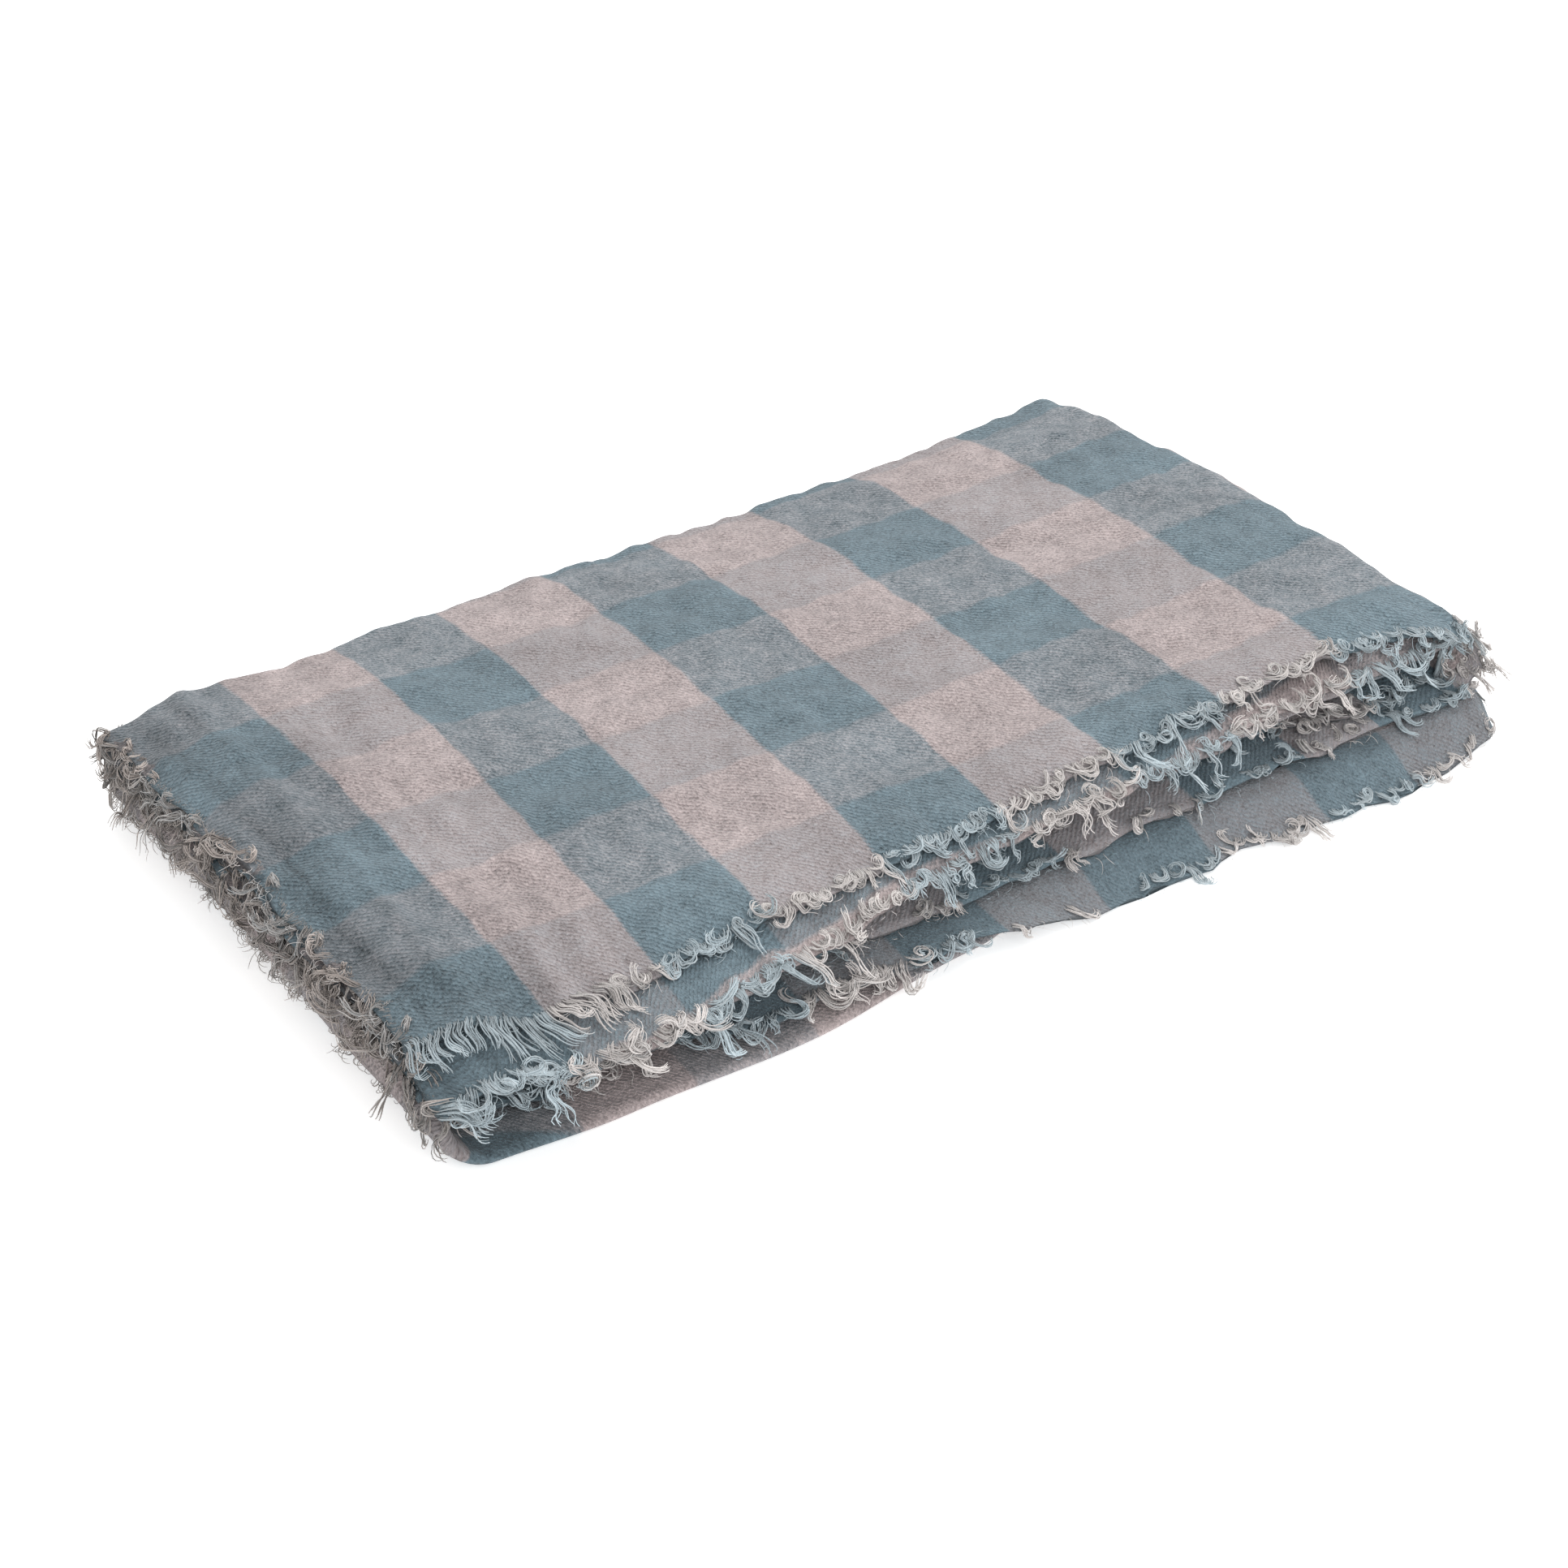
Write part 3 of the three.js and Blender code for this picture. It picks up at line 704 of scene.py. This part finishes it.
def end_fringe(name, s_edge, q_from, q_to, seed, gap, longer, droop, sink, shade, shag, blues):
    g = np.random.default_rng(seed)
    par = np.linspace(q_from, q_to, 4001)
    q = spread(par, surf(np.full_like(par, s_edge), par), np.full_like(par, gap), g)
    inward = 0.006 if s_edge < 1 else -0.006
    s0 = np.full_like(q, s_edge)
    base = surf(s0 + inward * g.uniform(0.5, 1.6, len(q)), q, 0.6)
    out = surf(s0, q) - surf(s0 + inward * 2, q)
    out /= np.linalg.norm(out, axis=1, keepdims=True)
    side = surf(s0, np.clip(q + 0.01, 0, 7)) - surf(s0, np.clip(q - 0.01, 0, 7))
    side /= np.linalg.norm(side, axis=1, keepdims=True)
    side[:, 2] *= 0.3
    down = np.clip(sink * (1 + 0.45 * np.repeat(g.uniform(-1, 1, len(q) // 9 + 1), 9)[:len(q)]), 0, 0.95)[:, None]
    out = out * (1 - down) + np.array([0, 0, -1.0]) * down
    out /= np.linalg.norm(out, axis=1, keepdims=True)

    def pick(i):
        return [0.0, 0.75 - 0.7 * shag, 0.25 - 0.3 * shag, shag, 0.0]
    path, thick, fluff, lock, _ = strand_paths(base, out, side, seed + 1, pick, np.full(len(q), gap), np.full(len(q), longer), droop, 0.12)
    path[..., 2] = np.clip(path[..., 2], 1.0, np.minimum(base[:, 2:3] + 3.5, 76.0))
    count = np.interp(q, Q_FINE, R_GRID[0 if s_edge < 1 else -1])
    blue = np.clip(blues * blue_share(count) + g.normal(0, 0.12, len(q)), 0, 1)
    light = shade + g.normal(0, 0.08, len(q)) + np.random.default_rng(seed + 5).normal(0, 0.07, lock.max() + 1)[lock]
    return tubes(name, path, thick, blue, light)


def fold_fuzz(name, seed, clumps, each):
    """Rubbed-up fibres, in small clumps, on the fold under the loose end."""
    g = np.random.default_rng(seed)
    n = clumps * each
    s = np.repeat(g.uniform(3.12, 3.92, clumps), each) + g.normal(0, 0.012, n)
    q = np.clip(np.repeat(g.uniform(2.0, 2.88, clumps), each) + g.normal(0, 0.010, n), 2, 2.92)
    base = surf(s, q, 0.6)
    away = surf(s, q, 2.0) - surf(s, q, 0.0)
    away /= np.linalg.norm(away, axis=1, keepdims=True)
    m = 9
    u = np.linspace(0, 1, m - 1)[None, :]
    theta = np.repeat(g.uniform(-1.3, 1.3, clumps), each)[:, None] + g.normal(0, 0.3, (n, 1)) \
        + np.repeat(g.choice([-1, 1], clumps) * g.uniform(2.6, 6.5, clumps), each)[:, None] * u + g.normal(0, 0.7, (n, 1)) * u
    side = np.array([0.0, 1.0, 0.0])
    d = np.cos(theta)[..., None] * away[:, None] + np.sin(theta)[..., None] * side
    d[..., 2] -= g.uniform(0.1, 0.9, (n, 1)) * u
    d *= (np.repeat(g.uniform(7, 14, clumps), each)[:, None] * g.uniform(0.7, 1.1, (n, 1)) / (m - 1))[..., None]
    path = np.concatenate([base[:, None], base[:, None] + np.cumsum(d, axis=1)], axis=1)
    path[..., 2] = np.clip(path[..., 2], 0.5, 76.0)
    blue = np.repeat(0.25 * g.random(clumps), each)
    light = np.repeat(g.uniform(0.50, 0.80, clumps), each)
    return tubes(name, path, np.full(n, 0.20), blue, light, sides=3, tip=0.4)


def stray_hairs(name, seed, count):
    """Fine loose fibres along the visible edges."""
    g = np.random.default_rng(seed)
    kind = g.choice(4, count, p=[0.34, 0.22, 0.24, 0.20])
    s = np.where(kind == 3, 0.002, g.choice([0.0, 2.0, 4.0], count, p=[0.5, 0.2, 0.3]) + g.random(count))
    q = np.where(kind == 3, g.uniform(0, 1, count), np.where(kind == 1, 7.0, 0.0))
    s = np.clip(s, 0.002, 4.998)
    base = surf(s, q)
    out = np.where((kind == 3)[:, None], np.array([-1.0, 0, 0]), np.array([0, -1.0, 0]))
    side = np.where((kind == 3)[:, None], np.array([0, 1.0, 0]), np.array([1.0, 0, 0]))
    m = 9
    u = np.linspace(0, 1, m - 1)[None, :]
    theta = g.normal(0, 0.9, (count, 1)) + g.normal(0, 4.0, (count, 1)) * u
    phi = g.normal(0.1, 0.4, (count, 1)) - g.uniform(0.2, 1.6, (count, 1)) * u
    d = np.cos(phi)[..., None] * (np.cos(theta)[..., None] * out[:, None] + np.sin(theta)[..., None] * side[:, None])
    d[..., 2] += np.sin(phi)
    d *= (g.uniform(4, 11, (count, 1)) / (m - 1))[..., None]
    start = base + out * g.uniform(0, 5, (count, 1)) + np.array([0, 0, 1.0]) * g.uniform(0, 1.5, (count, 1))
    path = np.concatenate([start[:, None], start[:, None] + np.cumsum(d, axis=1)], axis=1)
    path[..., 2] = np.clip(path[..., 2], 0.4, 76.0)
    rows = np.interp(q, Q_FINE, R_GRID[0])
    blue = np.where(kind == 3, 0.3 * blue_share(rows), blue_share(band_of(s)))
    return tubes(name, path, np.full(count, 0.14), blue, np.full(count, 1.15), sides=3, tip=0.3)


# ------------------------------------------------------------------ materials
class Nodes:
    """Short hand for a material's node tree."""

    def __init__(self, name):
        self.mat = bpy.data.materials.new(name)
        self.mat.use_nodes = True
        self.tree = self.mat.node_tree
        self.tree.nodes.clear()
        self.out = self.tree.nodes.new("ShaderNodeOutputMaterial")
        self.bsdf = self.tree.nodes.new("ShaderNodeBsdfPrincipled")
        self.tree.links.new(self.bsdf.outputs[0], self.out.inputs[0])

    def new(self, kind):
        return self.tree.nodes.new(kind)

    def link(self, a, b):
        self.tree.links.new(a, b)

    def put(self, socket, value):
        if isinstance(value, bpy.types.NodeSocket):
            self.link(value, socket)
        else:
            socket.default_value = value

    def attribute(self, name):
        n = self.new("ShaderNodeAttribute")
        n.attribute_type = "GEOMETRY"
        n.attribute_name = name
        return n.outputs["Vector"]

    def split(self, v):
        n = self.new("ShaderNodeSeparateXYZ")
        self.link(v, n.inputs[0])
        return n.outputs[0], n.outputs[1], n.outputs[2]

    def join(self, x, y, z):
        n = self.new("ShaderNodeCombineXYZ")
        for s, v in zip(n.inputs, (x, y, z)):
            self.put(s, v)
        return n.outputs[0]

    def math(self, op, a, b=0.0, c=0.0, clamp=False):
        n = self.new("ShaderNodeMath")
        n.operation = op
        n.use_clamp = clamp
        for s, v in zip(n.inputs, (a, b, c)):
            self.put(s, v)
        return n.outputs[0]

    def noise(self, vec, scale, detail=3.0, rough=0.55):
        n = self.new("ShaderNodeTexNoise")
        self.link(vec, n.inputs["Vector"])
        n.inputs["Scale"].default_value = scale
        n.inputs["Detail"].default_value = detail
        n.inputs["Roughness"].default_value = rough
        return self.math("SUBTRACT", n.outputs["Fac"], 0.5)

    def mix(self, f, a, b):
        n = self.new("ShaderNodeMix")
        n.data_type = "RGBA"
        self.put(n.inputs["Factor"], f)
        self.put(n.inputs["A"] if False else n.inputs[6], a)
        self.put(n.inputs[7], b)
        return n.outputs[2]

    def times(self, colour, value):
        n = self.new("ShaderNodeMix")
        n.data_type = "RGBA"
        n.blend_type = "MULTIPLY"
        n.inputs["Factor"].default_value = 1.0
        self.put(n.inputs[6], colour)
        self.link(self.join(value, value, value), n.inputs[7])
        return n.outputs[2]

    def bump(self, height, strength, distance):
        n = self.new("ShaderNodeBump")
        n.inputs["Strength"].default_value = strength
        n.inputs["Distance"].default_value = distance
        self.link(height, n.inputs["Height"])
        self.link(n.outputs[0], self.bsdf.inputs["Normal"])


def srgb(r, g, b):
    f = lambda c: c / 255 / 12.92 if c / 255 <= 0.04045 else ((c / 255 + 0.055) / 1.055) ** 2.4
    return (f(r), f(g), f(b), 1.0)


BLUE, BEIGE = srgb(99, 115, 123), srgb(161, 149, 148)
YARN_BLUE, YARN_BEIGE = srgb(178, 191, 197), srgb(212, 206, 203)
YARN_RUBBED = srgb(212, 200, 193)


def woven():
    w = Nodes("washed_twill_check")
    flat = w.attribute("flat")
    p, r, side = w.split(w.attribute("check"))
    faded_and_lit, bend_shade, _ = w.split(w.attribute("fade_and_painted_light"))
    s, t, _ = w.split(flat)
    fine = w.noise(flat, 0.62, 2.0, 0.6)
    grain = w.noise(flat, 0.24, 3.0, 0.6)
    cloud = w.noise(flat, 0.075, 3.0, 0.6)
    patch = w.noise(flat, 0.018, 2.0, 0.5)
    slub_y = w.noise(w.join(w.math("MULTIPLY", s, 0.85), w.math("MULTIPLY", t, 0.035), side), 1.0, 2.0, 0.6)
    slub_x = w.noise(w.join(w.math("MULTIPLY", s, 0.035), w.math("MULTIPLY", t, 0.85), side), 1.0, 2.0, 0.6)
    # twill lines, broken by the yarns that cross them
    diag = w.math("ADD", w.math("ADD", s, t), w.math("MULTIPLY", fine, 2.6))
    diag = w.math("MULTIPLY_ADD", grain, 3.0, diag)
    twill = w.math("SINE", w.math("MULTIPLY", diag, 2 * math.pi / 3.2))
    notch = w.math("SINE", w.math("MULTIPLY", w.math("SUBTRACT", s, t), 2 * math.pi / 2.1))

    def colour_of(count, wander, sharp):
        c = w.math("ADD", count, w.math("MULTIPLY", wander, 0.035))
        c = w.math("ADD", c, w.math("MULTIPLY", twill, 0.005))
        wave = w.math("SINE", w.math("MULTIPLY", c, math.pi))
        return w.math("MULTIPLY_ADD", wave, sharp, 0.5, clamp=True)
    blue_y = colour_of(p, slub_y, 11.0)
    blue_x = colour_of(r, slub_x, 7.0)
    across = w.mix(blue_y, BEIGE, BLUE)
    # ramp over roughly the last 86 mm of the loose end: it lowers the contrast there and carries painted shade, a
    # darker lengthwise beige and a darker light
    end_wear_and_shade = w.math("MULTIPLY_ADD", s, -1 / 80.0, 1.08, clamp=True)
    lengthwise = w.mix(blue_x, w.times(BEIGE, w.math("MULTIPLY_ADD", end_wear_and_shade, -0.42, 1.0)), BLUE)
    # share of the lengthwise yarns that shows: less on the face, more on the back
    share = w.math("MULTIPLY_ADD", side, -0.24, 0.50)
    share = w.math("MULTIPLY_ADD", twill, 0.06, share)
    # the handled end and the hem underneath have lost some of their contrast
    hem = w.math("MULTIPLY", w.math("SUBTRACT", s, LAST_LAYER), 0.02, clamp=True)
    share = w.math("MULTIPLY_ADD", end_wear_and_shade, 0.10, share)
    share = w.math("MULTIPLY_ADD", hem, 0.36, share)
    share = w.math("MULTIPLY_ADD", faded_and_lit, -0.38, share)
    share = w.math("MULTIPLY_ADD", fine, 0.50, share)
    share = w.math("MULTIPLY_ADD", grain, 0.40, share)
    share = w.math("MULTIPLY_ADD", cloud, 0.45, share, clamp=True)
    colour = w.mix(share, across, lengthwise)
    light = w.math("MULTIPLY_ADD", fine, 1.6, 1.0)
    light = w.math("MULTIPLY_ADD", grain, 0.80, light)
    light = w.math("MULTIPLY_ADD", cloud, 0.68, light)
    light = w.math("MULTIPLY_ADD", patch, 0.58, light)
    light = w.math("MULTIPLY_ADD", slub_y, 0.22, light)
    light = w.math("MULTIPLY_ADD", slub_x, 0.18, light)
    light = w.math("MULTIPLY_ADD", twill, 0.03, light)
    # painted crease shade: light and dark streaks along the creases, strongest near the loose end
    crease_shade_streak = w.noise(w.join(w.math("MULTIPLY", s, 0.075), w.math("MULTIPLY", t, 0.009), side), 1.0, 2.0, 0.5)
    near_end = w.math("MULTIPLY_ADD", s, -1 / 170.0, 1.1, clamp=True)
    light = w.math("ADD", light, w.math("MULTIPLY", crease_shade_streak, w.math("MULTIPLY", near_end, 1.2)))
    # painted shade darkens the loose end
    light = w.math("MULTIPLY_ADD", end_wear_and_shade, -0.19, light)
    # painted light: the faded back of the face edge is lightened against the shade under the ply above
    light = w.math("MULTIPLY_ADD", faded_and_lit, 0.30, light)
    # painted shade on the fold under the loose end
    light = w.math("MULTIPLY_ADD", bend_shade, -0.26, light)
    w.link(w.times(colour, light), w.bsdf.inputs["Base Color"])
    height = w.math("MULTIPLY_ADD", notch, 0.16, 0.42)
    height = w.math("MULTIPLY", height, twill)
    height = w.math("MULTIPLY_ADD", fine, 2.6, height)
    height = w.math("MULTIPLY_ADD", grain, 3.2, height)
    height = w.math("MULTIPLY_ADD", cloud, 3.4, height)
    w.bump(height, 0.8, 0.0006)
    w.bsdf.inputs["Roughness"].default_value = 0.92
    w.bsdf.inputs["Specular IOR Level"].default_value = 0.15
    w.bsdf.inputs["Sheen Weight"].default_value = 0.18
    w.bsdf.inputs["Sheen Roughness"].default_value = 0.55
    w.bsdf.inputs["Sheen Tint"].default_value = (0.85, 0.9, 0.95, 1)
    return w.mat


def yarn(name, pale):
    w = Nodes(name)
    blue, light, along_ = w.split(w.attribute("yarn"))
    flat = w.attribute("flat")
    spot = w.noise(flat, 0.7, 2.0, 0.6)
    colour = w.mix(blue, pale, YARN_BLUE)
    # painted shade: strands are darker at the roots and lighter towards the tips
    level = w.math("MULTIPLY_ADD", along_, 0.42, 0.66)
    level = w.math("MULTIPLY", level, light)
    level = w.math("MULTIPLY_ADD", spot, 0.45, level)
    w.link(w.times(colour, level), w.bsdf.inputs["Base Color"])
    _, run, _ = w.split(flat)
    ply = w.math("SINE", w.math("MULTIPLY", run, 5.5))
    w.bump(w.math("MULTIPLY_ADD", spot, 1.5, ply), 0.35, 0.0002)
    w.bsdf.inputs["Roughness"].default_value = 0.85
    w.bsdf.inputs["Specular IOR Level"].default_value = 0.2
    w.bsdf.inputs["Sheen Weight"].default_value = 0.2
    w.bsdf.inputs["Sheen Roughness"].default_value = 0.5
    w.bsdf.inputs["Sheen Tint"].default_value = (0.92, 0.95, 0.97, 1)
    return w.mat


def pale_floor():
    w = Nodes("pale_floor")
    pos = w.new("ShaderNodeTexCoord").outputs["Object"]
    n = w.noise(pos, 3.0, 2.0, 0.5)
    w.link(w.times((0.90, 0.90, 0.895, 1), w.math("MULTIPLY_ADD", n, 0.015, 1.0)), w.bsdf.inputs["Base Color"])
    w.bsdf.inputs["Roughness"].default_value = 0.9
    w.bsdf.inputs["Specular IOR Level"].default_value = 0.1
    w.bsdf.inputs["Emission Color"].default_value = (1, 1, 1, 1)
    w.bsdf.inputs["Emission Strength"].default_value = 0.42
    return w.mat


# ------------------------------------------------------------------ build
sheet = build_sheet()
fringes = [
    front_fringe("fringe_face_edge", 0.0, 101, 0.0, 1.45, lambda s: np.interp(s, [0, 1.0, 1.1], [0.62, 0.62, 0.40])),
    front_fringe("fringe_face_edge_lower", 0.0, 111, 1.45, 5.0, lambda s: np.interp(s, [1.9, 2.05], [0.40, 0.58])),
    front_fringe("fringe_inner_edge", 7.0, 202, 0.0, 1.45, lambda s: np.interp(s, [0, 0.25, 0.4, 1.2], [0.46, 0.46, 0.62, 0.66])),
    front_fringe("fringe_inner_edge_lower", 7.0, 212, 1.45, 5.0, lambda s: np.interp(s, [1.5, 2.22, 2.3], [0.70, 0.70, 1.8])),
    end_fringe("fringe_left_end", 0.0, 0.0, 1.3, 303, 0.50, 1.25, 0.75, 0.24, 0.67, 0.20, 0.38),
    end_fringe("fringe_left_end_inner", 0.0, 1.3, 7.0, 313, 0.80, 1.75, 0.45, 0.60, 0.52, 0.14, 0.20),
    end_fringe("fringe_right_end", 5.0, 0.0, 7.0, 404, 3.2, 0.7, 0.5, 0.0, 0.85, 0.20, 0.38),
    fold_fuzz("fringe_fold_fuzz", 606, 290, 4),
    stray_hairs("fringe_stray_fibres", 505, 520),
]
sheet.data.materials.append(woven())
yarn_material, rubbed_material = yarn("frayed_yarn", YARN_BEIGE), yarn("rubbed_yarn", YARN_RUBBED)
for ob in fringes:
    rubbed = ob.name.startswith(("fringe_left", "fringe_fold"))
    ob.data.materials.append(rubbed_material if rubbed else yarn_material)

for ob in (sheet, *fringes):
    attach(ob, "root")
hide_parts("throw")

# ------------------------------------------------------------------ stage
floor_mesh = bpy.data.meshes.new("floor")
floor_mesh.from_pydata([(-8, -8, 0), (8, -8, 0), (8, 8, 0), (-8, 8, 0)], [], [(0, 1, 2, 3)])
floor = bpy.data.objects.new("floor", floor_mesh)
bpy.context.scene.collection.objects.link(floor)
floor_mesh.materials.append(pale_floor())


def area_light(name, place_at, aim, size, power, tint):
    data = bpy.data.lights.new(name, "AREA")
    data.shape = "DISK"
    data.size = size
    data.energy = power
    data.color = tint
    ob = bpy.data.objects.new(name, data)
    bpy.context.scene.collection.objects.link(ob)
    z = np.array(place_at, float) - np.array(aim, float)
    z /= np.linalg.norm(z)
    x = np.cross([0, 0, 1.0], z)
    x /= np.linalg.norm(x)
    y = np.cross(z, x)
    ob.matrix_world = Matrix([[x[0], y[0], z[0], place_at[0]], [x[1], y[1], z[1], place_at[1]],
                              [x[2], y[2], z[2], place_at[2]], [0, 0, 0, 1]])


area_light("key", (1.15, 0.55, 2.0), (0, 0, 0.03), 2.2, 40, (1.0, 0.985, 0.97))
area_light("fill", (-0.5, -2.0, 1.3), (0, 0, 0.03), 1.8, 19, (0.98, 0.99, 1.0))

world = bpy.data.worlds.new("studio")
bpy.context.scene.world = world
world.use_nodes = True
sky = world.node_tree.nodes["Background"]
sky.inputs[0].default_value = (1, 1, 1, 1)
sky.inputs[1].default_value = 0.84

# ------------------------------------------------------------------ camera
AZ, EL, FAR = math.radians(-34.25), math.radians(34.1), 1.23122
back = np.array([-0.4660, -0.6845, 0.5606])
back /= np.linalg.norm(back)
right = np.array([0.8266, -0.5628, 0.0])
right /= np.linalg.norm(right)
up = np.cross(back, right)
aim = SHIFT / 1000 + np.array([0, 0, 0.060]) + 0.01196 * right - 0.05468 * up
eye = aim + FAR * back
cam_data = bpy.data.cameras.new("camera")
cam_data.sensor_fit = "HORIZONTAL"
cam_data.sensor_width = 36.0
cam_data.lens = 36.0 * 2900 / 1932
cam_data.clip_start = 0.01
camera = bpy.data.objects.new("camera", cam_data)
bpy.context.scene.collection.objects.link(camera)
camera.matrix_world = Matrix([[right[0], up[0], back[0], eye[0]], [right[1], up[1], back[1], eye[1]],
                              [right[2], up[2], back[2], eye[2]], [0, 0, 0, 1]])
bpy.context.scene.camera = camera
bpy.context.scene.view_settings.view_transform = "Standard"

bpy.context.view_layer.update()
